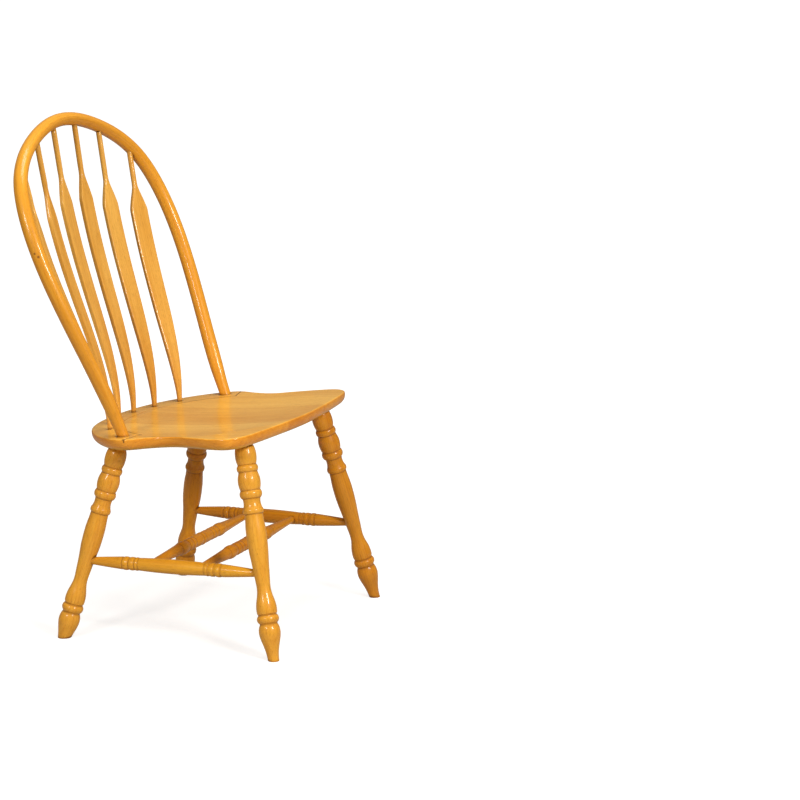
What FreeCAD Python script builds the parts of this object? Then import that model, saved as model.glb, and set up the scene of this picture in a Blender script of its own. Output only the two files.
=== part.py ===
import FreeCAD, Part
from FreeCAD import Vector
import math
import os

# Arrow back dining chair in solid wood: a saddled seat, a steam bent hoop,
# six arrow spindles, four turned legs, two side stretchers and two cross stretchers.
# Millimetres. The sitter faces -Y, +X is the sitter's left, +Z is up, the feet stand on Z = 0.

# Overall placing of the working datum against the middle of the chair's footprint.
FOOTPRINT_MIDDLE_Y = 74.0

# Seat: one glued up board, sloping down to the rear.
SEAT_DATUM_Z = 440.6
SEAT_SLOPE = 0.086
SEAT_THICKNESS = 26.0
SEAT_TOP_ROUND = 3.0
SEAT_UNDER_ROUND = 20.0
SADDLE_DEPTH = 7.5
SADDLE_HALF_WIDTH = 250.0
SADDLE_HALF_LENGTH = 196.0
SADDLE_MIDDLE_Y = 6.0
DECK_CENTRE_Y = -19.0
DECK_ARC_RADIUS = 235.0
DECK_ARC_HALF_ANGLE = 64.0
DECK_TAIL_LENGTH = 75.0
DECK_TAIL_RISE = 17.0
DECK_GROOVE_WIDTH = 2.6
DECK_GROOVE_DEPTH = 1.6

# Half of the seat outline from the middle of the back to the middle of the front.
SEAT_HALF_OUTLINE = [
    (62.0, 266.0),
    (114.0, 253.5),
    (162.0, 231.0),
    (206.0, 198.0),
    (240.0, 161.0),
    (261.0, 124.0),
    (264.0, 95.0),
    (252.5, 67.0),
    (240.5, 36.0),
    (237.0, 4.0),
    (245.5, -32.0),
    (258.5, -68.0),
    (268.5, -103.0),
    (269.5, -134.0),
    (253.0, -158.0),
    (212.0, -172.5),
    (155.0, -180.5),
    (80.0, -188.5),
]
SEAT_BACK_Y = 270.0
SEAT_FRONT_Y = -193.0

# Ring of feet: spindles and hoop stand on one circle about the deck centre.
FEET_RING_RADIUS = 259.5
SPINDLE_SPACING_DEG = 14.4
BOW_FOOT_Y = 117.5

# Hoop: oval section, thinner where it enters the seat.
BOW_HEIGHT = 616.0
BOW_HALF_WIDTHS = [(0.0, 227.5), (0.22, 248.0), (0.45, 277.0), (0.66, 283.0), (0.84, 242.5), (0.955, 135.0)]
BOW_LEAN = 0.387
BOW_LEAN_GROWTH = 0.02156
BOW_IN_PLANE = 27.6
BOW_DEPTH = 30.6
BOW_FOOT_DIAMETER = 24.0
BOW_TAPER_LENGTH = 85.0
BOW_TENON_LENGTH = 17.0

# Spindles: place on the ring, shoulder height as a share of the rise from seat to hoop,
# how far out the top meets the hoop, and the turn of the blade. The bend is a share of
# the hoop height.
SPINDLE_KINDS = {
    "inner": {"place": 0.5, "shoulder": 0.7155, "top_x": 43.5, "turn": 3.0},
    "middle": {"place": 1.5, "shoulder": 0.7065, "top_x": 127.5, "turn": 14.0},
    "outer": {"place": 2.5, "shoulder": 0.7358, "top_x": 220.5, "turn": 25.0},
}
SPINDLE_BEND = (-0.2273, 0.7451, -0.4432)
SPINDLE_ROUND = 10.6
SPINDLE_NECK = 11.6
BLADE_WIDTH = 42.0
BLADE_THICKNESS = 10.6
SPINDLE_FOOT_TENON = 14.0
SPINDLE_TOP_TENON = 12.0
SPINDLE_COLLAR = 6.0
# Blade width against height, as shares of the shoulder height and of the full width.
BLADE_SHAPE = [
    (0.045, 0.30),
    (0.10, 0.40),
    (0.165, 0.52),
    (0.23, 0.635),
    (0.29, 0.725),
    (0.35, 0.80),
    (0.42, 0.875),
    (0.54, 0.94),
    (0.70, 0.98),
    (0.86, 1.0),
    (0.96, 1.0),
    (1.0, 1.0),
    (1.018, 0.985),
    (1.035, 0.905),
    (1.06, 0.75),
    (1.09, 0.565),
    (1.118, 0.39),
    (1.135, 0.315),
    (1.155, 0.285),
    (1.19, 0.276),
]

# Legs: where the axis crosses the reference height under the seat and the floor.
LEG_FRONT_TOP = (177.2, -130.7, 432.0)
LEG_FRONT_FOOT = (250.3, -224.5)
LEG_REAR_TOP = (180.2, 153.6, 402.8)
LEG_REAR_FOOT = (263.4, 253.0)
LEG_TENON = 28.0
LEG_TENON_LENGTH = 12.0
LEG_TENON_ROOT = 7.5
LEG_SWELLING_RADIUS = 23.0
LEG_ANKLE_FRONT = 363.5
LEG_ANKLE_REAR = 357.5

# Stretchers.
SIDE_HEIGHT_FRONT = 169.6
SIDE_HEIGHT_REAR = 160.8
SIDE_TENON = 16.0
SIDE_PLAIN_END = 22.0
SIDE_SWELLING_RADIUS = 15.2
SIDE_TENON_PAST_AXIS = 3.0
CROSS_SHARES = (0.357, 0.634)
CROSS_TENON = 14.0
CROSS_PLAIN_END = 18.0
CROSS_SWELLING_RADIUS = 14.3
CROSS_TENON_PAST_AXIS = 2.0

GLUE_LINE = 0.1
SOCKET_RELIEF = 0.6


def seat_top_z(y):
    return SEAT_DATUM_Z - SEAT_SLOPE * y


def mirrored(point):
    return Vector(-point.x, point.y, point.z)


def turned(steps):
    # A round piece from its half profile. Each step is a line, an arc through a
    # middle point or a free curve through several points, as (station, radius).
    edges = []
    here = Vector(0, 0, steps[0][1][0][0])
    for kind, points in steps:
        ends = [Vector(r, 0, s) for s, r in points]
        if kind == "line":
            for end in ends:
                edges.append(Part.makeLine(here, end))
                here = end
        elif kind == "arc":
            edges.append(Part.Arc(here, ends[0], ends[1]).toShape())
            here = ends[1]
        elif kind == "curve":
            spline = Part.BSplineCurve()
            spline.interpolate([here] + ends)
            edges.append(spline.toShape())
            here = ends[-1]
    last = Vector(0, 0, here.z)
    edges.append(Part.makeLine(here, last))
    edges.append(Part.makeLine(last, Vector(0, 0, steps[0][1][0][0])))
    face = Part.Face(Part.Wire(edges))
    return face.revolve(Vector(0, 0, 0), Vector(0, 0, 1), 360)


def scaled(steps, station_size, radius_size):
    return [(kind, [(s * station_size, r * radius_size) for s, r in points]) for kind, points in steps]


def along(shape, start, end):
    # Turns a piece made along +Z so that it runs from start towards end.
    direction = end.sub(start)
    turn = FreeCAD.Rotation(Vector(0, 0, 1), direction)
    shape.Placement = FreeCAD.Placement(start, turn)
    return shape


def peg(start, end, diameter, extra_diameter=0.0, extra_length=0.0):
    direction = end.sub(start)
    length = direction.Length + extra_length
    return Part.makeCylinder((diameter + extra_diameter) / 2, length, start, direction)


def socket(start, end, diameter):
    return peg(start, end, diameter, 2 * GLUE_LINE, SOCKET_RELIEF)


# Hoop line.
def bow_point(x, height):
    y = BOW_FOOT_Y + BOW_LEAN * height + BOW_LEAN_GROWTH * height * height / BOW_HEIGHT
    return Vector(x, y, seat_top_z(BOW_FOOT_Y) + height)


def bow_curve():
    right = [bow_point(x, share * BOW_HEIGHT) for share, x in BOW_HALF_WIDTHS]
    left = [mirrored(p) for p in reversed(right)]
    curve = Part.BSplineCurve()
    curve.interpolate(right + [bow_point(0.0, BOW_HEIGHT)] + left)
    return curve


BOW_LINE = bow_curve()
BOW_LENGTH = BOW_LINE.length()


def bow_at(distance):
    # Point and direction on the hoop line; beyond the ends it runs on straight.
    inside = min(max(distance, 0.0), BOW_LENGTH)
    parameter = BOW_LINE.parameterAtDistance(inside, BOW_LINE.FirstParameter)
    direction = BOW_LINE.tangent(parameter)[0]
    point = BOW_LINE.value(parameter).add(Vector(direction).multiply(distance - inside))
    return point, direction


def bow_distance_at_x(x):
    low = 0.0
    high = BOW_LENGTH / 2
    for _ in range(40):
        middle = (low + high) / 2
        point = bow_at(middle)[0]
        rising = point.z < seat_top_z(BOW_FOOT_Y) + 0.66 * BOW_HEIGHT
        if rising or point.x > x:
            low = middle
        else:
            high = middle
    return (low + high) / 2


BOW_PLANE_NORMAL = Vector(0, -1, BOW_LEAN + BOW_LEAN_GROWTH).normalize()


def bow_section(distance):
    point, direction = bow_at(distance)
    reach = min(distance, BOW_LENGTH - distance)
    share = min(max(reach / BOW_TAPER_LENGTH, 0.0), 1.0)
    share = share * share * (3 - 2 * share)
    in_plane = BOW_FOOT_DIAMETER + (BOW_IN_PLANE - BOW_FOOT_DIAMETER) * share
    depth = BOW_FOOT_DIAMETER + (BOW_DEPTH - BOW_FOOT_DIAMETER) * share
    in_plane = min(in_plane, depth - 0.02)
    side = direction.cross(BOW_PLANE_NORMAL).normalize()
    across = side.cross(direction).normalize()
    tip = point.add(Vector(across).multiply(depth / 2))
    flank = point.add(Vector(side).multiply(in_plane / 2))
    return Part.Wire(Part.Ellipse(tip, flank, point).toShape())


def make_bow():
    stations = [-BOW_TENON_LENGTH, 0.0, BOW_TAPER_LENGTH / 3, BOW_TAPER_LENGTH * 2 / 3, BOW_TAPER_LENGTH]
    plain = 22
    first = BOW_TAPER_LENGTH
    last = BOW_LENGTH - BOW_TAPER_LENGTH
    for k in range(1, plain):
        stations.append(first + (last - first) * k / plain)
    stations += [BOW_LENGTH - s for s in reversed(stations[:5])]
    return Part.makeLoft([bow_section(s) for s in stations], True, False)


# Spindles.
def spindle_ends(kind):
    data = SPINDLE_KINDS[kind]
    angle = math.radians(data["place"] * SPINDLE_SPACING_DEG)
    x = FEET_RING_RADIUS * math.sin(angle)
    y = DECK_CENTRE_Y + FEET_RING_RADIUS * math.cos(angle)
    foot = Vector(x, y, seat_top_z(y))
    top = bow_at(bow_distance_at_x(data["top_x"]))[0]
    return foot, top


def spindle_line(kind, height):
    # Centre line of a bent spindle at a height above its foot.
    foot, top = spindle_ends(kind)
    turn = math.radians(SPINDLE_KINDS[kind]["turn"])
    share = height / (top.z - foot.z)
    bend = 0.0
    if 0.0 < share < 1.0:
        a, b, c = SPINDLE_BEND
        bend = share * (1 - share) * (a + b * share + c * share * share) * BOW_HEIGHT
    chord = top.sub(foot)
    point = foot.add(Vector(chord).multiply(share))
    return point.add(Vector(math.sin(turn) * bend, math.cos(turn) * bend, 0))


def spindle_direction(kind, height):
    step = 1.0
    return spindle_line(kind, height + step).sub(spindle_line(kind, height - step)).normalize()


def spindle_section(kind, height, width, thickness, squareness, direction=None, point=None):
    # A soft cornered oval, round where width and thickness are equal.
    turn = math.radians(SPINDLE_KINDS[kind]["turn"])
    if point is None:
        point = spindle_line(kind, height)
    if direction is None:
        direction = spindle_direction(kind, height)
    across = Vector(math.cos(turn), -math.sin(turn), 0)
    across = across.sub(Vector(direction).multiply(across.dot(direction))).normalize()
    front = direction.cross(across).normalize()
    count = 24
    power = 2.0 / squareness
    points = []
    for k in range(count):
        angle = 2 * math.pi * k / count
        c = math.cos(angle)
        s = math.sin(angle)
        u = math.copysign(abs(c) ** power, c) * width / 2
        v = math.copysign(abs(s) ** power, s) * thickness / 2
        points.append(point.add(Vector(across).multiply(u)).add(Vector(front).multiply(v)))
    curve = Part.BSplineCurve()
    knots = [k / count for k in range(count + 1)]
    curve.interpolate(Points=points, PeriodicFlag=True, Parameters=knots)
    return Part.Wire(curve.toShape())


def make_spindle(kind):
    foot, top = spindle_ends(kind)
    rise = top.z - foot.z
    shoulder = SPINDLE_KINDS[kind]["shoulder"] * rise
    foot_way = spindle_direction(kind, 1.5)
    tenon_end = foot.sub(Vector(foot_way).multiply(SPINDLE_FOOT_TENON))
    sections = [
        spindle_section(kind, 0.0, SPINDLE_ROUND, SPINDLE_ROUND, 2.0, foot_way, tenon_end),
        spindle_section(kind, 0.0, SPINDLE_ROUND, SPINDLE_ROUND, 2.0, foot_way, foot),
    ]
    for height_share, width_share in BLADE_SHAPE:
        width = max(width_share * BLADE_WIDTH, SPINDLE_ROUND)
        flat = min(max((width - SPINDLE_ROUND) / (0.5 * BLADE_WIDTH), 0.0), 1.0)
        thickness = SPINDLE_ROUND + (BLADE_THICKNESS - SPINDLE_ROUND) * flat
        squareness = 2.0 + 4.0 * flat
        sections.append(spindle_section(kind, height_share * shoulder, width, thickness, squareness))
    neck_start = BLADE_SHAPE[-1][0] * shoulder
    top_way = spindle_direction(kind, rise - 1.5)
    tenon_start = rise - BOW_IN_PLANE / 2 - SPINDLE_COLLAR
    for k in (1, 2):
        height = neck_start + (tenon_start - neck_start) * k / 2
        sections.append(spindle_section(kind, height, SPINDLE_NECK, SPINDLE_NECK, 2.0))
    start = spindle_line(kind, tenon_start)
    reach = SPINDLE_COLLAR + SPINDLE_TOP_TENON
    way = top.sub(start).normalize()
    end = start.add(Vector(way).multiply(reach))
    sections[-1] = spindle_section(kind, tenon_start, SPINDLE_NECK, SPINDLE_NECK, 2.0, way)
    sections.append(spindle_section(kind, tenon_start, SPINDLE_NECK, SPINDLE_NECK, 2.0, way, end))
    solid = Part.makeLoft(sections, True, False)
    mouth = foot.add(Vector(foot_way).multiply(SPINDLE_COLLAR))
    foot_socket = socket(mouth, tenon_end, SPINDLE_ROUND)
    top_socket = socket(start, end, SPINDLE_NECK)
    return solid, foot_socket, top_socket


# Legs. Stations run down from the reference height along the leg. All four are turned
# alike above the ankle beads; the shorter rear pair has its ankle a little higher.
# The table is drawn for a pattern whose widest swelling has a radius of 23.
def leg_profile(length, ankle):
    size = LEG_SWELLING_RADIUS / 23.0
    r_tenon = LEG_TENON / 2 / size

    def low(station):
        return ankle / size + station

    steps = [
        ("line", [(-LEG_TENON_LENGTH / size, r_tenon)]),
        ("line", [(8.0, r_tenon)]),
        ("curve", [(13.0, 18.2), (22.0, 20.9), (33.0, 21.8), (43.0, 20.9), (49.0, 19.4)]),
        ("line", [(51.0, 19.0)]),
        ("arc", [(57.5, 21.9), (64.0, 20.3)]),
        ("line", [(65.5, 19.4)]),
        ("curve", [(69.0, 20.3), (76.0, 22.2), (85.0, 23.0), (94.0, 22.3), (101.0, 20.6)]),
        ("line", [(102.5, 20.2)]),
        ("arc", [(110.5, 22.9), (118.0, 20.2)]),
        ("line", [(119.5, 18.2)]),
        ("curve", [(124.0, 17.5), (132.0, 17.8), (139.0, 19.6)]),
        ("arc", [(144.5, 21.4), (149.5, 20.2)]),
        ("line", [(151.0, 18.6)]),
        ("curve", [(160.0, 18.9), (180.0, 20.5), (200.0, 20.8), (226.0, 19.7), (low(-107.5), 17.1),
                   (low(-79.5), 15.1), (low(-59.5), 14.2), (low(-47.5), 15.9), (low(-35.5), 18.9),
                   (low(-23.5), 20.7), (low(-11.5), 20.4)]),
        ("line", [(low(-9.5), 19.0), (low(-7.5), 19.0)]),
        ("arc", [(low(0.0), 22.4), (low(7.5), 19.6)]),
        ("line", [(low(9.0), 18.2), (low(11.0), 18.2)]),
        ("curve", [(low(16.5), 20.5), (low(25.5), 21.9), (low(36.5), 20.9), (low(50.5), 17.2),
                   (low(66.5), 13.3), (length / size, 12.0)]),
    ]
    return scaled(steps, size, size)


def make_leg(top, foot, profile_length, ankle):
    start = Vector(*top)
    end = Vector(foot[0], foot[1], 0.0)
    turning = turned(leg_profile(profile_length, ankle))
    turning = along(turning, start, end)
    room = turning.BoundBox
    room.enlarge(LEG_TENON)
    keep = Part.makeBox(room.XLength, room.YLength, room.ZMax, Vector(room.XMin, room.YMin, 0))
    solid = turning.common(keep)
    way = end.sub(start).normalize()
    tip = start.sub(Vector(way).multiply(LEG_TENON_LENGTH))
    mouth = start.add(Vector(way).multiply(LEG_TENON_ROOT))
    return solid, socket(mouth, tip, LEG_TENON)


def leg_point(top, foot, height):
    start = Vector(*top)
    end = Vector(foot[0], foot[1], 0.0)
    share = (start.z - height) / start.z
    return start.add(end.sub(start).multiply(share))


# Side stretcher, from the front leg to the rear leg.
def side_profile(length):
    # The table is drawn for a widest radius of 15.2.
    size = SIDE_SWELLING_RADIUS / 15.2
    r_end = SIDE_TENON / 2 / size

    def at(share):
        return share * length

    half = [
        ("curve", [(at(0.10), 9.7), (at(0.17), 11.9), (at(0.218), 13.3)]),
        ("line", [(at(0.222), 12.5)]),
        ("arc", [(at(0.238), 14.2), (at(0.254), 13.1)]),
        ("line", [(at(0.258), 12.7)]),
        ("arc", [(at(0.273), 14.1), (at(0.288), 13.2)]),
        ("line", [(at(0.292), 12.8)]),
        ("arc", [(at(0.300), 13.8), (at(0.308), 13.3)]),
        ("line", [(at(0.312), 13.1)]),
    ]
    steps = [("line", [(0.0, r_end)]), ("line", [(SIDE_PLAIN_END, r_end)])] + half
    steps.append(("curve", [(at(0.38), 14.3), (at(0.5), 15.2), (at(0.62), 14.3), (at(0.688), 13.1)]))
    steps += reflected(half, length, (SIDE_PLAIN_END, r_end))
    steps.append(("line", [(length, r_end)]))
    return scaled(steps, 1.0, size)


def reflected(half, length, first):
    # The same turning seen from the other end, joined on after the middle.
    nodes = [first]
    for kind, points in half:
        nodes.append(points[-1])
    steps = []
    for index in range(len(half) - 1, -1, -1):
        kind, points = half[index]
        before = nodes[index]
        if kind == "line":
            new = [before]
        elif kind == "arc":
            new = [points[0], before]
        else:
            new = [p for p in reversed(points[:-1])] + [before]
        steps.append((kind, [(length - s, r) for s, r in new]))
    return steps


# Cross stretcher, from one side stretcher to the other.
def cross_profile(length):
    # The table is drawn for a widest radius of 14.3.
    size = CROSS_SWELLING_RADIUS / 14.3
    r_end = CROSS_TENON / 2 / size

    def at(share):
        return share * length

    half = [
        ("curve", [(at(0.11), 8.5), (at(0.20), 10.3), (at(0.278), 12.3)]),
        ("line", [(at(0.282), 11.9)]),
        ("arc", [(at(0.315), 14.3), (at(0.349), 12.2)]),
        ("line", [(at(0.355), 11.8)]),
        ("arc", [(at(0.371), 13.3), (at(0.387), 12.4)]),
        ("line", [(at(0.391), 12.2)]),
        ("arc", [(at(0.403), 13.3), (at(0.415), 12.5)]),
        ("line", [(at(0.419), 12.2)]),
        ("curve", [(at(0.440), 13.0), (at(0.462), 13.2), (at(0.483), 12.9)]),
        ("line", [(at(0.487), 12.7)]),
    ]
    steps = [("line", [(0.0, r_end)]), ("line", [(CROSS_PLAIN_END, r_end)])] + half
    steps.append(("arc", [(at(0.5), 13.9), (at(0.513), 12.7)]))
    steps += reflected(half, length, (CROSS_PLAIN_END, r_end))
    steps.append(("line", [(length, r_end)]))
    return scaled(steps, 1.0, size)


# Seat.
def seat_outline_wire():
    right = [Vector(x, y, 0) for x, y in SEAT_HALF_OUTLINE]
    left = [mirrored(p) for p in reversed(right)]
    points = [Vector(0, SEAT_BACK_Y, 0)] + right + [Vector(0, SEAT_FRONT_Y, 0)] + left
    curve = Part.BSplineCurve()
    curve.interpolate(Points=points, PeriodicFlag=True)
    return Part.Wire(curve.toShape())


def make_seat_blank():
    blank = Part.Face(seat_outline_wire()).extrude(Vector(0, 0, -SEAT_THICKNESS))
    flat = [e for e in blank.Edges if e.BoundBox.ZLength < 0.01]
    under = [e for e in flat if abs(e.BoundBox.ZMax + SEAT_THICKNESS) < 0.01]
    blank = blank.makeFillet(SEAT_UNDER_ROUND, under)
    upper = [e for e in blank.Edges if abs(e.BoundBox.ZMin) < 0.01 and e.BoundBox.ZLength < 0.01]
    return blank.makeFillet(SEAT_TOP_ROUND, upper)


def make_saddle():
    # A shallow bowl: a ball pressed flat so that it dips by the saddle depth.
    half_height = 16 * SADDLE_DEPTH
    lift = half_height - SADDLE_DEPTH
    grow = 1.0 / math.sqrt(1.0 - (lift / half_height) ** 2)
    ball = Part.makeSphere(1.0)
    stretch = FreeCAD.Matrix()
    stretch.scale(SADDLE_HALF_WIDTH * grow, SADDLE_HALF_LENGTH * grow, half_height)
    bowl = ball.transformGeometry(stretch)
    bowl.translate(Vector(0, SADDLE_MIDDLE_Y, lift))
    reach = SEAT_BACK_Y - SEAT_FRONT_Y
    corner = Vector(-reach, -reach, -SEAT_THICKNESS)
    top = Part.makeBox(2 * reach, 2 * reach, 2 * SEAT_THICKNESS, corner)
    return bowl.common(top)


def make_groove():
    # The V cut line in front of the deck: a long arc, then a straight tail that
    # turns out through each side edge of the seat.
    half = DECK_GROOVE_WIDTH / 2
    end_angle = math.radians(DECK_ARC_HALF_ANGLE)
    end_y = DECK_CENTRE_Y + DECK_ARC_RADIUS * math.cos(end_angle)
    end = Vector(DECK_ARC_RADIUS * math.sin(end_angle), end_y, 0)
    middle = Vector(0, DECK_CENTRE_Y + DECK_ARC_RADIUS, 0)
    ring = Part.Wire(Part.Arc(end, middle, mirrored(end)).toShape())
    outward = Vector(math.sin(end_angle), math.cos(end_angle), 0)
    arc_cut = ring.makePipeShell([groove_section(end, outward)], True, True)

    tail_way = Vector(DECK_TAIL_LENGTH, DECK_TAIL_RISE, 0)
    across = Vector(-DECK_TAIL_RISE, DECK_TAIL_LENGTH, 0).normalize()
    start = end.sub(Vector(tail_way).normalize().multiply(half))
    tail = Part.Face(groove_section(start, across)).extrude(tail_way)
    return [arc_cut, tail, tail.mirror(Vector(0, 0, 0), Vector(1, 0, 0))]


def groove_section(point, side):
    half = DECK_GROOVE_WIDTH / 2
    lift = Vector(0, 0, 0.3 * DECK_GROOVE_DEPTH)
    near = point.sub(Vector(side).multiply(half)).add(lift)
    far = point.add(Vector(side).multiply(half)).add(lift)
    bottom = point.add(Vector(0, 0, -DECK_GROOVE_DEPTH))
    return Part.makePolygon([near, far, bottom, near])


def build():
    # The left half is made once; each right hand piece is its mirror image.
    left = {}
    sockets_in_seat = []
    sockets_in_bow = []

    reference = Vector(*LEG_FRONT_TOP)
    front_length = reference.distanceToPoint(Vector(LEG_FRONT_FOOT[0], LEG_FRONT_FOOT[1], 0))
    full_length = front_length + LEG_TENON_ROOT
    for name, top, foot, ankle in (
        ("front", LEG_FRONT_TOP, LEG_FRONT_FOOT, LEG_ANKLE_FRONT),
        ("rear", LEG_REAR_TOP, LEG_REAR_FOOT, LEG_ANKLE_REAR),
    ):
        leg, hole = make_leg(top, foot, full_length, ankle)
        left["leg_" + name] = leg
        sockets_in_seat.append(hole)

    start = leg_point(LEG_FRONT_TOP, LEG_FRONT_FOOT, SIDE_HEIGHT_FRONT)
    end = leg_point(LEG_REAR_TOP, LEG_REAR_FOOT, SIDE_HEIGHT_REAR)
    way = end.sub(start).normalize()
    start = start.sub(Vector(way).multiply(SIDE_TENON_PAST_AXIS))
    end = end.add(Vector(way).multiply(SIDE_TENON_PAST_AXIS))
    side = along(turned(side_profile(start.distanceToPoint(end))), start, end)
    reach = Vector(way).multiply(LEG_SWELLING_RADIUS * 1.13)
    left["leg_front"] = left["leg_front"].cut(socket(start.add(reach), start, SIDE_TENON))
    left["leg_rear"] = left["leg_rear"].cut(socket(end.sub(reach), end, SIDE_TENON))

    parts = {}
    for name, share in zip(("front", "rear"), CROSS_SHARES):
        centre = start.add(end.sub(start).multiply(share))
        left_end = Vector(centre.x + CROSS_TENON_PAST_AXIS, centre.y, centre.z)
        length = 2 * left_end.x
        parts["cross_stretcher_" + name] = along(turned(cross_profile(length)), left_end, mirrored(left_end))
        mouth = left_end.sub(Vector(SIDE_SWELLING_RADIUS * 1.45, 0, 0))
        side = side.cut(socket(mouth, left_end, CROSS_TENON))
    left["side_stretcher"] = side

    for kind in SPINDLE_KINDS:
        solid, foot_hole, top_hole = make_spindle(kind)
        left["arrow_spindle_" + kind] = solid
        sockets_in_seat.append(foot_hole)
        sockets_in_bow.append(top_hole)

    foot, way = bow_at(0.0)
    tip = foot.sub(Vector(way).multiply(BOW_TENON_LENGTH))
    mouth = foot.add(Vector(way).multiply(BOW_FOOT_DIAMETER * 3 / 8))
    sockets_in_seat.append(socket(mouth, tip, BOW_FOOT_DIAMETER))

    middle_plane = Vector(1, 0, 0)
    for name, shape in left.items():
        parts[name + "_left"] = shape
        parts[name + "_right"] = shape.mirror(Vector(0, 0, 0), middle_plane)

    bow = make_bow()
    for hole in sockets_in_bow:
        bow = bow.cut(hole).cut(hole.mirror(Vector(0, 0, 0), middle_plane))
    parts["bow"] = bow

    seat = make_seat_blank()
    seat = seat.cut(make_saddle())
    for cut in make_groove():
        seat = seat.cut(cut)
    tilt = FreeCAD.Rotation(Vector(1, 0, 0), -math.degrees(math.atan(SEAT_SLOPE)))
    seat.Placement = FreeCAD.Placement(Vector(0, 0, SEAT_DATUM_Z), tilt)
    for hole in sockets_in_seat:
        seat = seat.cut(hole).cut(hole.mirror(Vector(0, 0, 0), middle_plane))
    parts["seat"] = seat
    return parts


def main():
    os.makedirs("parts", exist_ok=True)
    shift = Vector(0, -FOOTPRINT_MIDDLE_Y, 0)
    for name, shape in build().items():
        piece = shape.Solids[0].copy()
        piece.translate(shift)
        piece.exportStep("parts/" + name + ".step")


main()
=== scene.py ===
import math

import bmesh
import bpy
from mathutils import Matrix, Vector, kdtree


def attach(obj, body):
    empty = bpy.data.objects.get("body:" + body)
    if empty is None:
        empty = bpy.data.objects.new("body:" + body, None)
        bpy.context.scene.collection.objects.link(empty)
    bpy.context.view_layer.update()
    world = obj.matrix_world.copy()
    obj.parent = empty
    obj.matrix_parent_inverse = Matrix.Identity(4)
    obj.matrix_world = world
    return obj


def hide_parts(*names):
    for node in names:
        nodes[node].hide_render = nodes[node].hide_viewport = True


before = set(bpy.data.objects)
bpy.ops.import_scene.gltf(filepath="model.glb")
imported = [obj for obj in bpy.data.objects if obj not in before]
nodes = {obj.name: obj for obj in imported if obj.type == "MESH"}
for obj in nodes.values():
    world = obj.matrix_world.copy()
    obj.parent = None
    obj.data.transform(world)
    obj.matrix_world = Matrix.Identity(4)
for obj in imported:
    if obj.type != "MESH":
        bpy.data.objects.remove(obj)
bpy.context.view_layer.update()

# Seat. Several boards of pale hardwood, glued edge to edge with the grain running from
# front to back, dished on top, stained light honey and sprayed with a clear satin lacquer.
SEAT_LIGHT = (0.90, 0.50, 0.085)
SEAT_DARK = (0.66, 0.275, 0.022)
SEAT_GRAIN = (0, 1, -0.086)
SEAT_PITH = (0.05, 0.06)
SEAT_SEED = 1.0
SEAT_EDGE_TINT = (1.0, 0.72, 0.32)
EDGE_SLOPES = (0.85, 0.45)
SEAT_MARK = ((-0.2625, 0.0246, 0.4311), 0.0026)
BOARD_WIDTH = 0.0885
BOARDS_HALF_WIDTH = 0.262

# The V cut round the deck: an arc with a straight tail at each end.
CUT_CENTRE_Y = -0.093
CUT_RADIUS = 0.235
CUT_HALF_ANGLE = math.radians(64.0)
CUT_TAIL_SLOPE = 0.017 / 0.075
CUT_HALF_WIDTH = 0.0016
CUT_LOWEST = 0.425
CUT_STRENGTH = 0.85
# The cut's dark line is painted shade, partly also stain.
CUT_SHADE_AND_STAIN = (0.075, 0.022, 0.003)

# Each pattern has its number of features per metre, twice across the grain, then along it.
WANDER = (9, 9, 2.2)
FIBRE = (520, 520, 11)
STREAK = (95, 95, 2.6)
CLOUD = (10, 10, 2.4)
PORES = (1500, 1500, 60)

# The octaves of the finer patterns and how rough they are.
FIBRE_NOISE = (3.0, 0.6)
STREAK_NOISE = (3.0, 0.55)

# Growth rings, and how far apart in the log the blanks and boards were sawn.
RING_SPACING = 0.0042
LATE_WOOD_STARTS = 0.25
LATE_WOOD_FULL = 0.86
LATE_WOOD_ENDS = 0.90
RING_WANDER = 0.016
RING_DRIFT = 0.02
BLANK_STEP = (0.37, 0.23, 0.61)
BOARD_STEP = (0.173, 0.71)

# How far each pattern moves the tone, from the light colour at 0 to the dark one at 1.
MEAN_TONE = 0.30
RING_CONTRAST = 0.20
FIBRE_CONTRAST = 0.65
STREAK_CONTRAST = 1.15
CLOUD_CONTRAST = 1.1
BOARD_CONTRAST = 0.46
PORE_COLOUR = (0.26, 0.075, 0.004)
PORE_STRENGTH = 0.45
PORE_THRESHOLDS = (0.60, 0.70)

# Darkening in creases, where parts meet and along lathe grooves: painted shade, partly also stain that pools
# there. Then small dark knots.
CREASE_REACH = 0.007
CREASE_SAMPLES = 6
CREASE_STRENGTH = 0.85
CREASE_OPENNESS = (0.50, 0.96)
CREASE_SHADE_AND_STAIN = (0.19, 0.055, 0.006)
LINE_REACH = 0.0022
LINE_CORE = 0.0004
LINE_STRENGTH = 0.42
GROOVE_SHADE_AND_STAIN = (0.30, 0.085, 0.007)
SPOT_STRENGTH = 0.8
SPOT_RIM = 1.4
SPOT_CORE = 0.4
SPOT_COLOUR = (0.19, 0.062, 0.012)

# The lacquer.
MEAN_ROUGHNESS = 0.36
FIBRE_ROUGHNESS = 0.16
CLOUD_ROUGHNESS = 0.14
FIBRE_HEIGHT = 0.35
GRAIN_DEPTH = 0.0004
GRAIN_STRENGTH = 0.16
LACQUER_IOR = 1.5
WOOD_SPECULAR = 0.18
LACQUER_WEIGHT = 0.40
LACQUER_ROUGHNESS = 0.12


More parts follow.
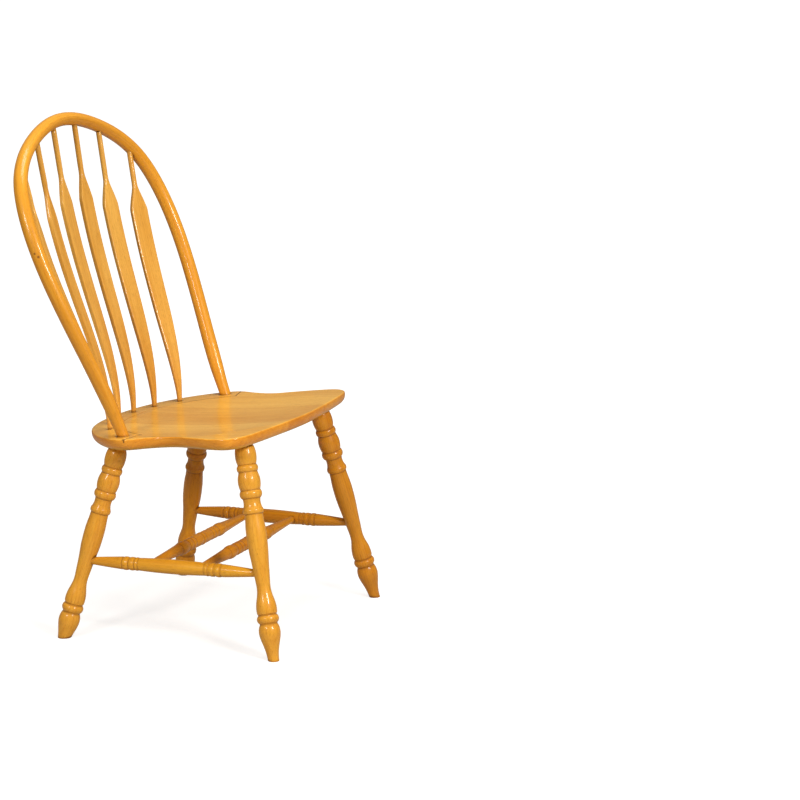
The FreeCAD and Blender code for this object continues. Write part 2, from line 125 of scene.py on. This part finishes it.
class Net:
    # A small helper that adds and joins the nodes of one material.
    def __init__(self, name):
        self.material = bpy.data.materials.new(name)
        self.material.use_nodes = True
        self.tree = self.material.node_tree
        self.tree.nodes.clear()

    def add(self, kind, settings=None, **inputs):
        # i0, i1 and so on are a socket's number, and any other word is its label.
        node = self.tree.nodes.new(kind)
        for key, value in (settings or {}).items():
            setattr(node, key, value)
        for key, value in inputs.items():
            numbered = key[0] == "i" and key[1:].isdigit()
            slot = node.inputs[int(key[1:]) if numbered else key.replace("_", " ")]
            if isinstance(value, bpy.types.NodeSocket):
                self.tree.links.new(value, slot)
            else:
                slot.default_value = value
        return node

    def math(self, operation, a, b=0.0, clamp=False):
        return self.add("ShaderNodeMath", {"operation": operation, "use_clamp": clamp}, i0=a, i1=b).outputs[0]

    def vector(self, operation, a, b=(0, 0, 0)):
        return self.add("ShaderNodeVectorMath", {"operation": operation}, i0=a, i1=b)

    def stretch(self, a, scale):
        return self.vector("MULTIPLY", a, scale).outputs[0]

    def noise(self, where, scale, detail=2.0, roughness=0.5):
        made = self.add("ShaderNodeTexNoise", Vector=where, Scale=scale, Detail=detail, Roughness=roughness)
        return made.outputs["Fac"]

    def band(self, value, low, high, out_low=0.0, out_high=1.0):
        settings = {"interpolation_type": "SMOOTHSTEP"}
        made = self.add("ShaderNodeMapRange", settings, i0=value, i1=low, i2=high, i3=out_low, i4=out_high)
        return made.outputs[0]

    def blend(self, factor, a, b, mode="MIX"):
        made = self.add("ShaderNodeMix", {"data_type": "RGBA", "blend_type": mode})
        for index, value in ((0, factor), (6, a), (7, b)):
            if isinstance(value, bpy.types.NodeSocket):
                self.tree.links.new(value, made.inputs[index])
            else:
                made.inputs[index].default_value = value if index == 0 else tuple(value) + (1.0,)
        return made.outputs[2]

    def vary(self, tone, pattern, contrast):
        # Adds a pattern, which swings about one half, to a tone.
        return self.math("ADD", tone, self.math("MULTIPLY", self.math("SUBTRACT", pattern, 0.5), contrast))


def grain_space(net, along):
    # Object coordinates turned so that the grain runs along Z.
    turn = Vector(along).rotation_difference(Vector((0, 0, 1))).to_euler()
    place = net.add("ShaderNodeTexCoord").outputs["Object"]
    return net.add("ShaderNodeMapping", i0=place, i2=tuple(turn)).outputs[0], place


def growth_rings(net, inside, pith, seed):
    # Rings about the pith of the log, wandering a little along the piece.
    wander = net.add("ShaderNodeTexNoise", Vector=net.stretch(inside, WANDER), Scale=1.0, Detail=2.0)
    wander = net.vector("MULTIPLY_ADD", wander.outputs["Color"], (RING_WANDER, RING_WANDER, 0.0))
    wander.inputs[2].default_value = (-RING_WANDER / 2, -RING_WANDER / 2, 0.0)
    swayed = net.vector("ADD", inside, wander.outputs[0]).outputs[0]
    centre = (seed * BLANK_STEP[0] + pith[0], seed * BLANK_STEP[1] + pith[1], 0)
    flat = net.stretch(net.vector("SUBTRACT", swayed, centre).outputs[0], (1, 1, RING_DRIFT))
    reach = net.vector("LENGTH", flat).outputs["Value"]
    turn = net.math("FRACT", net.math("DIVIDE", reach, RING_SPACING))
    rise = net.band(turn, LATE_WOOD_STARTS, LATE_WOOD_FULL)
    return net.math("MULTIPLY", rise, net.band(turn, 1.0, LATE_WOOD_ENDS))


def lathe_lines(net, place, colour, origin, axis, stations):
    # Each groove that the lathe cut holds a thin dark line: painted shade in the groove, partly also stain.
    run = net.vector("DOT_PRODUCT", net.vector("SUBTRACT", place, origin).outputs[0], axis).outputs["Value"]
    run = net.math("ABSOLUTE", run)
    for station in stations:
        off = net.math("ABSOLUTE", net.math("SUBTRACT", run, station))
        colour = net.blend(net.band(off, LINE_REACH, LINE_CORE, 0.0, LINE_STRENGTH), colour, GROOVE_SHADE_AND_STAIN)
    return colour


def sawn_edge(net, colour, tint):
    # The steep sawn edges of a board are tinted darker and warmer than its face.
    normal = net.add("ShaderNodeNewGeometry").outputs["Normal"]
    facing = net.add("ShaderNodeSeparateXYZ", i0=normal).outputs["Z"]
    return net.blend(net.band(net.math("ABSOLUTE", facing), *EDGE_SLOPES), colour, tint, "MULTIPLY")


def wood(name, along, pith, seed, light, dark, space=None, boards=None, cut=None, edge_tint=None,
         rings=None, spots=()):
    net = Net(name)
    inside, place = grain_space(net, along) if space is None else space(net)
    inside = net.vector("ADD", inside, tuple(seed * step for step in BLANK_STEP)).outputs[0]
    if boards is not None:
        board = boards(net, place)
        across = net.math("MULTIPLY", board, BOARD_STEP[0])
        step = net.add("ShaderNodeCombineXYZ", i0=across, i2=net.math("MULTIPLY", board, BOARD_STEP[1]))
        inside = net.vector("ADD", inside, step.outputs[0]).outputs[0]

    # Rings, fibres, pores and slow changes of tone.
    late = growth_rings(net, inside, pith, seed)
    fibre = net.noise(net.stretch(inside, FIBRE), 1.0, *FIBRE_NOISE)
    streak = net.noise(net.stretch(inside, STREAK), 1.0, *STREAK_NOISE)
    cloud = net.noise(net.stretch(inside, CLOUD), 1.0, 2.0)
    pore = net.band(net.noise(net.stretch(inside, PORES), 1.0, 1.0), *PORE_THRESHOLDS)
    tone = net.math("MULTIPLY", late, RING_CONTRAST)
    tone = net.vary(tone, fibre, FIBRE_CONTRAST)
    tone = net.vary(tone, streak, STREAK_CONTRAST)
    tone = net.vary(tone, cloud, CLOUD_CONTRAST)
    if boards is not None:
        board_tone = net.add("ShaderNodeTexWhiteNoise", {"noise_dimensions": "1D"}, W=board).outputs["Value"]
        tone = net.vary(tone, board_tone, BOARD_CONTRAST)
    tone = net.math("ADD", tone, MEAN_TONE, True)
    colour = net.blend(tone, light, dark)
    colour = net.blend(net.math("MULTIPLY", pore, PORE_STRENGTH), colour, PORE_COLOUR)

    # Stain, and painted shade in creases and grooves.
    if rings is not None:
        colour = lathe_lines(net, place, colour, *rings)
    if edge_tint is not None:
        colour = sawn_edge(net, colour, edge_tint)
    # Ambient occlusion darkens creases and the places where parts meet: painted shade, partly also stain.
    settings = {"samples": CREASE_SAMPLES, "only_local": False}
    open_sky = net.add("ShaderNodeAmbientOcclusion", settings, Distance=CREASE_REACH).outputs["AO"]
    crease_shade_and_stain = net.band(open_sky, *CREASE_OPENNESS, CREASE_STRENGTH, 0.0)
    colour = net.blend(crease_shade_and_stain, colour, CREASE_SHADE_AND_STAIN)
    if cut is not None:
        colour = net.blend(cut(net, place), colour, CUT_SHADE_AND_STAIN)
    for spot, radius in spots:
        gap = net.vary(net.vector("DISTANCE", place, spot).outputs["Value"], streak, radius)
        mark = net.band(gap, radius * SPOT_RIM, radius * SPOT_CORE, 0.0, SPOT_STRENGTH)
        colour = net.blend(mark, colour, SPOT_COLOUR)

    # Satin lacquer over open pores.
    rough = net.vary(MEAN_ROUGHNESS, fibre, FIBRE_ROUGHNESS)
    rough = net.vary(rough, cloud, CLOUD_ROUGHNESS)
    height = net.math("SUBTRACT", net.math("MULTIPLY", fibre, FIBRE_HEIGHT), pore)
    bump = net.add("ShaderNodeBump", Strength=GRAIN_STRENGTH, Distance=GRAIN_DEPTH, Height=height).outputs[0]
    shader = net.add("ShaderNodeBsdfPrincipled", Base_Color=colour, Roughness=rough, Normal=bump)
    shader.inputs["IOR"].default_value = LACQUER_IOR
    shader.inputs["Specular IOR Level"].default_value = WOOD_SPECULAR
    shader.inputs["Coat Weight"].default_value = LACQUER_WEIGHT
    shader.inputs["Coat Roughness"].default_value = LACQUER_ROUGHNESS
    shader.inputs["Coat IOR"].default_value = LACQUER_IOR
    net.add("ShaderNodeOutputMaterial", Surface=shader.outputs[0])
    return net.material


def dress(name, material):
    piece = nodes[name]
    for slot in piece.material_slots:
        slot.material = material


def seat_boards(net, place):
    # The boards are numbered across the seat.
    across = net.add("ShaderNodeSeparateXYZ", i0=place).outputs["X"]
    return net.math("FLOOR", net.math("DIVIDE", net.math("ADD", across, BOARDS_HALF_WIDTH), BOARD_WIDTH))


def deck_cut(net, place):
    # A dark line in the V cut that parts the deck from the dished front: painted shade in the cut, partly
    # also stain left there.
    flat = net.vector("SUBTRACT", net.stretch(place, (1, 1, 0)), (0, CUT_CENTRE_Y, 0)).outputs[0]
    apart = net.add("ShaderNodeSeparateXYZ", i0=flat)
    end_x = CUT_RADIUS * math.sin(CUT_HALF_ANGLE)
    end_y = CUT_RADIUS * math.cos(CUT_HALF_ANGLE)
    reach = net.vector("LENGTH", flat).outputs["Value"]
    off_arc = net.math("ABSOLUTE", net.math("SUBTRACT", reach, CUT_RADIUS))
    on_arc = net.math("GREATER_THAN", apart.outputs["Y"], end_y)
    arc = net.math("MULTIPLY", net.band(off_arc, CUT_HALF_WIDTH, CUT_HALF_WIDTH * 0.5), on_arc)
    across = net.math("ABSOLUTE", apart.outputs["X"])
    rise = net.math("SUBTRACT", apart.outputs["Y"], end_y - CUT_TAIL_SLOPE * end_x)
    off_tail = net.math("ABSOLUTE", net.math("SUBTRACT", rise, net.math("MULTIPLY", across, CUT_TAIL_SLOPE)))
    on_tail = net.math("GREATER_THAN", across, end_x)
    tail = net.math("MULTIPLY", net.band(off_tail, CUT_HALF_WIDTH, CUT_HALF_WIDTH * 0.5), on_tail)
    top = net.math("GREATER_THAN", net.add("ShaderNodeSeparateXYZ", i0=place).outputs["Z"], CUT_LOWEST)
    return net.math("MULTIPLY", net.math("MULTIPLY", net.math("MAXIMUM", arc, tail), top), CUT_STRENGTH)


dress("seat", wood("seat_wood", SEAT_GRAIN, SEAT_PITH, SEAT_SEED, SEAT_LIGHT, SEAT_DARK, boards=seat_boards,
                   cut=deck_cut, edge_tint=SEAT_EDGE_TINT, spots=[SEAT_MARK]))

# Hoop. One long square strip, steamed and bent round a form, then shaped to a fat oval.
# Its grain follows the bend, so the hoop is a copy of the solid's skin that also carries
# the place of each point across and along the strip.
BOW_LIGHT = (0.81, 0.37, 0.030)
BOW_DARK = (0.60, 0.205, 0.007)
BOW_PITH = (0.055, 0.03)
BOW_SEED = 2.0
BOW_FOOT_Y = 0.0435
BOW_FOOT_Z = 0.430495
BOW_HEIGHT = 0.616
BOW_HALF_WIDTHS = [(0.0, 0.2275), (0.22, 0.248), (0.45, 0.277), (0.66, 0.283), (0.84, 0.2425), (0.955, 0.135)]
BOW_LEAN = 0.387
BOW_LEAN_GROWTH = 0.02156
STEPS_PER_SPAN = 60
KNOTS = [((-0.2990, 0.1930, 0.8075), 0.0022), ((-0.2975, 0.1847, 0.8014), 0.0028)]


def bow_point(x, share):
    height = share * BOW_HEIGHT
    return Vector((x, BOW_FOOT_Y + (BOW_LEAN + BOW_LEAN_GROWTH * share) * height, BOW_FOOT_Z + height))


def bow_line():
    # A smooth line through the hoop's known points, as many short steps.
    half = [bow_point(x, share) for share, x in BOW_HALF_WIDTHS]
    points = half + [bow_point(0.0, 1.0)] + [Vector((-p.x, p.y, p.z)) for p in reversed(half)]
    points = [points[0] * 2 - points[1]] + points + [points[-1] * 2 - points[-2]]
    line = []
    for before, start, end, after in zip(points, points[1:], points[2:], points[3:]):
        for step in range(STEPS_PER_SPAN):
            t = step / STEPS_PER_SPAN
            straight = 2 * start + (end - before) * t
            square = (2 * before - 5 * start + 4 * end - after) * t * t
            cube = (3 * start - before - 3 * end + after) * t ** 3
            line.append(0.5 * (straight + square + cube))
    return line


def grain_skin(source, line, flat_normal):
    # A copy of a solid's skin with its grain laid along a bent line.
    mesh = source.data.copy()
    mesh.name = source.name + "_skin"
    lengths = [0.0]
    for a, b in zip(line, line[1:]):
        lengths.append(lengths[-1] + (b - a).length)
    tree = kdtree.KDTree(len(line))
    for index, point in enumerate(line):
        tree.insert(point, index)
    tree.balance()
    grain = mesh.attributes.new("grain", "FLOAT_VECTOR", "POINT")
    values = []
    for vertex in mesh.vertices:
        index = tree.find(vertex.co)[1]
        index = min(max(index, 1), len(line) - 2)
        way = (line[index + 1] - line[index - 1]).normalized()
        gap = vertex.co - line[index]
        side = way.cross(flat_normal).normalized()
        values += [gap.dot(side), gap.dot(flat_normal), lengths[index] + gap.dot(way)]
    grain.data.foreach_set("vector", values)
    return mesh


def skin_piece(mesh, name, material):
    # The dressed skin stands in for the solid that it was copied from.
    mesh.materials.clear()
    mesh.materials.append(material)
    piece = bpy.data.objects.new(name + "_skin", mesh)
    bpy.context.scene.collection.objects.link(piece)
    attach(piece, "root")
    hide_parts(name)


def grain_of_bend(net):
    inside = net.add("ShaderNodeAttribute", {"attribute_name": "grain"}).outputs["Vector"]
    return inside, net.add("ShaderNodeTexCoord").outputs["Object"]


bow_normal = Vector((0, -1, BOW_LEAN + BOW_LEAN_GROWTH)).normalized()
bow_wood = wood("bow_wood", (0, 0, 1), BOW_PITH, BOW_SEED, BOW_LIGHT, BOW_DARK,
                space=grain_of_bend, spots=KNOTS)
skin_piece(grain_skin(nodes["bow"], bow_line(), bow_normal), "bow", bow_wood)

# Arrow spindles. Six flat blades with round ends, each cut from one plank with the grain
# along it, steamed to a slight S and tapped into the seat and the hoop. Each is a copy of
# its solid's skin with the neck made an even round rod.
SPINDLE_LIGHT = (0.83, 0.45, 0.085)
SPINDLE_DARK = (0.62, 0.265, 0.024)
SPINDLE_PITH = (0.03, 0.055)
SPINDLE_PITH_STEP = 0.012
SPINDLE_SEED = 3.0
SPINDLE_FEET = {
    "inner": (0.0325, 0.1645, 0.4206),
    "middle": (0.0955, 0.1483, 0.4218),
    "outer": (0.1525, 0.1170, 0.4246),
}
SPINDLE_TOPS = {
    "inner": (0.0435, 0.2935, 1.043),
    "middle": (0.1275, 0.2840, 1.021),
    "outer": (0.2205, 0.2625, 0.970),
}
NECK_FEET = {
    "inner": (0.0420, 0.2791, 0.936),
    "middle": (0.1236, 0.2677, 0.916),
    "outer": (0.2138, 0.2484, 0.896),
}
NECK_TOPS = {
    "inner": (0.0435, 0.2935, 1.040),
    "middle": (0.1273, 0.2841, 1.020),
    "outer": (0.2203, 0.2624, 0.968),
}
NECK_RADIUS = 0.0059
NECK_RUN_IN = 0.010
NECK_CORE = 0.0005
WELD = 0.00001
SHARP_EDGE = math.radians(40.0)


def mirrored(point, sign):
    return Vector((point[0] * sign, point[1], point[2]))


def even_neck(source, low, high):
    # A copy of a spindle's skin whose neck is an even round rod up into the hoop.
    mesh = source.data.copy()
    mesh.name = source.name + "_skin"
    if "custom_normal" in mesh.attributes:
        mesh.attributes.remove(mesh.attributes["custom_normal"])
    form = bmesh.new()
    form.from_mesh(mesh)
    bmesh.ops.remove_doubles(form, verts=form.verts[:], dist=WELD)
    way = (high - low).normalized()
    for vertex in form.verts:
        along = (vertex.co - low).dot(way)
        if along > 0.0:
            centre = low + way * along
            out = vertex.co - centre
            share = min(along / NECK_RUN_IN, 1.0)
            if out.length > NECK_CORE:
                vertex.co = centre + out * (1.0 - share + share * NECK_RADIUS / out.length)
    form.to_mesh(mesh)
    form.free()
    mesh.shade_smooth()
    mesh.set_sharp_from_angle(angle=SHARP_EDGE)
    return mesh


count = 0
for kind, foot in SPINDLE_FEET.items():
    for side, sign in (("left", 1), ("right", -1)):
        name = "arrow_spindle_" + kind + "_" + side
        way = mirrored(SPINDLE_TOPS[kind], sign) - mirrored(foot, sign)
        pith = (SPINDLE_PITH[0] - SPINDLE_PITH_STEP * count, SPINDLE_PITH[1])
        grown = wood(name + "_wood", way, pith, SPINDLE_SEED + count, SPINDLE_LIGHT, SPINDLE_DARK)
        neck = even_neck(nodes[name], mirrored(NECK_FEET[kind], sign), mirrored(NECK_TOPS[kind], sign))
        skin_piece(neck, name, grown)
        count += 1

# Legs. Four lathe turned legs of one pattern, raked and splayed, glued into blind sockets.
# The grain runs down the leg. The left pair stands on the far side in the seat's shade and gets a darker,
# redder copy of the wood: painted shade. The left pair looks darker and redder in the photograph, where
# shade and stain can't be told apart, so it has a slightly deeper stain here.
LEG_LIGHT = (0.90, 0.44, 0.045)
LEG_DARK = (0.69, 0.26, 0.014)
FAR_SHADE_LIGHT = (0.78, 0.325, 0.017)
FAR_SHADE_DARK = (0.58, 0.185, 0.006)
LEG_PITH = (0.045, 0.02)
LEG_SEED = 10.0
LEG_TOPS = {"front": (0.1772, -0.2047, 0.432), "rear": (0.1802, 0.0796, 0.4028)}
LEG_WAYS = {"front": (0.0731, -0.0938, -0.432), "rear": (0.0832, 0.0994, -0.4028)}
LEG_ANKLES = {"front": 0.3635, "rear": 0.3575}
LEG_GROOVES = (0.051, 0.0655, 0.1025, 0.1195, 0.151)
ANKLE_GROOVES = (-0.0085, 0.010)
for end in ("front", "rear"):
    for side, sign in (("left", 1), ("right", -1)):
        name = "leg_" + end + "_" + side
        way = mirrored(LEG_WAYS[end], sign)
        grooves = LEG_GROOVES + tuple(LEG_ANKLES[end] + groove for groove in ANKLE_GROOVES)
        lines = (mirrored(LEG_TOPS[end], sign), way.normalized(), grooves)
        light, dark = (LEG_LIGHT, LEG_DARK) if side == "right" else (FAR_SHADE_LIGHT, FAR_SHADE_DARK)
        pith = (LEG_PITH[0], LEG_PITH[1] * sign)
        dress(name, wood(name + "_wood", way, pith, LEG_SEED + count, light, dark, rings=lines))
        count += 1

# Stretchers. Two turned rails run from front to back between the legs, and two thinner
# ones with more beads tie them to each other. Groove places are shares of the length,
# counted from the middle.
SIDE_LIGHT = (0.88, 0.42, 0.028)
SIDE_DARK = (0.66, 0.235, 0.009)
SIDE_PITH = (0.03, 0.04)
SIDE_SEED = 20.0
SIDE_MIDDLE = (0.2259, -0.0612, 0.1652)
SIDE_WAY = (0.0086, 0.4010, -0.0088)
SIDE_GROOVES = (0.278, 0.242, 0.208, 0.188)
for side, sign in (("left", 1), ("right", -1)):
    name = "side_stretcher_" + side
    way = mirrored(SIDE_WAY, sign)
    lines = (mirrored(SIDE_MIDDLE, sign), way.normalized(), [share * way.length for share in SIDE_GROOVES])
    # The left rail gets the darker, redder copy too: painted shade.
    light, dark = (SIDE_LIGHT, SIDE_DARK) if side == "right" else (FAR_SHADE_LIGHT, FAR_SHADE_DARK)
    pith = (SIDE_PITH[0], SIDE_PITH[1] * sign)
    dress(name, wood(name + "_wood", way, pith, SIDE_SEED + count, light, dark, rings=lines))
    count += 1
CROSS_LIGHT = (0.80, 0.34, 0.018)
CROSS_DARK = (0.58, 0.19, 0.005)
CROSS_PITH = (0.035, 0.03)
CROSS_SEED = 30.0
CROSS_WAY = (1, 0, 0)
CROSS_LENGTH = 0.4505
CROSS_GROOVES = (0.218, 0.145, 0.109, 0.081, 0.013)
for end in ("front", "rear"):
    name = "cross_stretcher_" + end
    lines = ((0, 0, 0), CROSS_WAY, [share * CROSS_LENGTH for share in CROSS_GROOVES])
    grown = wood(name + "_wood", CROSS_WAY, CROSS_PITH, CROSS_SEED + count,
                 CROSS_LIGHT, CROSS_DARK, rings=lines)
    dress(name, grown)
    count += 1

# Floor. A wide pale studio floor that takes a soft shadow under the feet. The camera sees
# it glow up to white away from the chair, and the chair itself is not lit by that glow.
FLOOR_HALF_SIZE = 40.0
FLOOR_GREYS = ((0.46, 0.46, 0.46), (0.48, 0.48, 0.48))
GLOW_NEAR = 0.74
GLOW_FAR = 1.0
GLOW_STARTS = 0.6
GLOW_ENDS = 3.0
net = Net("floor_paint")
place = net.add("ShaderNodeTexCoord").outputs["Object"]
pale = net.blend(net.noise(place, 3.0, 2.0), *FLOOR_GREYS)
matt = net.add("ShaderNodeBsdfDiffuse", Color=pale).outputs[0]
seen = net.add("ShaderNodeLightPath").outputs["Is Camera Ray"]
reach = net.vector("LENGTH", place).outputs["Value"]
spread = net.band(reach, GLOW_STARTS, GLOW_ENDS, GLOW_NEAR, GLOW_FAR)
glow = net.add("ShaderNodeEmission", Strength=net.math("MULTIPLY", seen, spread)).outputs[0]
net.add("ShaderNodeOutputMaterial", Surface=net.add("ShaderNodeAddShader", i0=matt, i1=glow).outputs[0])
mesh = bpy.data.meshes.new("studio_floor")
form = bmesh.new()
bmesh.ops.create_grid(form, x_segments=4, y_segments=4, size=FLOOR_HALF_SIZE)
form.to_mesh(mesh)
form.free()
floor = bpy.data.objects.new("studio_floor", mesh)
floor.data.materials.append(net.material)
bpy.context.scene.collection.objects.link(floor)

# Light. A plain warm white room, a soft box on each side of the camera and a larger one
# overhead. Each box has its place, its width and its power in watts.
ROOM_COLOUR = (1.0, 0.93, 0.83, 1.0)
ROOM_STRENGTH = 0.23
LAMP_COLOUR = (1.0, 0.97, 0.93)
AIM = Vector((0.0, 0.0, 0.5))
SOFT_BOXES = {
    "left_light": ((-3.2, 0.5, 2.2), 0.7, 42.0),
    "key_light": ((-1.5, -3.1, 2.3), 0.7, 91.0),
    "top_light": ((0.1, -0.2, 3.2), 1.4, 44.0),
}
world = bpy.data.worlds.new("studio")
world.use_nodes = True
world.node_tree.nodes["Background"].inputs["Color"].default_value = ROOM_COLOUR
world.node_tree.nodes["Background"].inputs["Strength"].default_value = ROOM_STRENGTH
bpy.context.scene.world = world
for name, (place, width, power) in SOFT_BOXES.items():
    data = bpy.data.lights.new(name, "AREA")
    data.shape = "RECTANGLE"
    data.size = width
    data.size_y = width
    data.energy = power
    data.color = LAMP_COLOUR
    box = bpy.data.objects.new(name, data)
    box.location = place
    box.rotation_euler = (AIM - Vector(place)).to_track_quat("-Z", "Y").to_euler()
    bpy.context.scene.collection.objects.link(box)

# Camera. It stands where the photograph was taken from, off the chair's front right.
CAMERA_PLACE = Vector((-4.75958, -2.54218, 1.56767))
AZIMUTH = math.radians(-66.4991)
ELEVATION = math.radians(11.6371)
ROLL = math.radians(-0.6069)
FOCAL_PIXELS = 2608.56
FRAME_PIXELS = 800.0
SENSOR_WIDTH = 36.0
FARTHEST_SEEN = 200.0
flat_reach = math.cos(ELEVATION)
back = Vector((math.sin(AZIMUTH) * flat_reach, -math.cos(AZIMUTH) * flat_reach, math.sin(ELEVATION)))
level = Vector((0, 0, 1)).cross(back).normalized()
upward = back.cross(level)
right = level * math.cos(ROLL) + upward * math.sin(ROLL)
up = upward * math.cos(ROLL) - level * math.sin(ROLL)
lens = bpy.data.cameras.new("photo_camera")
lens.sensor_width = SENSOR_WIDTH
lens.lens = FOCAL_PIXELS * SENSOR_WIDTH / FRAME_PIXELS
lens.clip_end = FARTHEST_SEEN
camera = bpy.data.objects.new("photo_camera", lens)
bpy.context.scene.collection.objects.link(camera)
turned = Matrix((right, up, back)).transposed()
camera.matrix_world = Matrix.Translation(CAMERA_PLACE) @ turned.to_4x4()
bpy.context.scene.camera = camera
bpy.context.scene.view_settings.view_transform = "Standard"
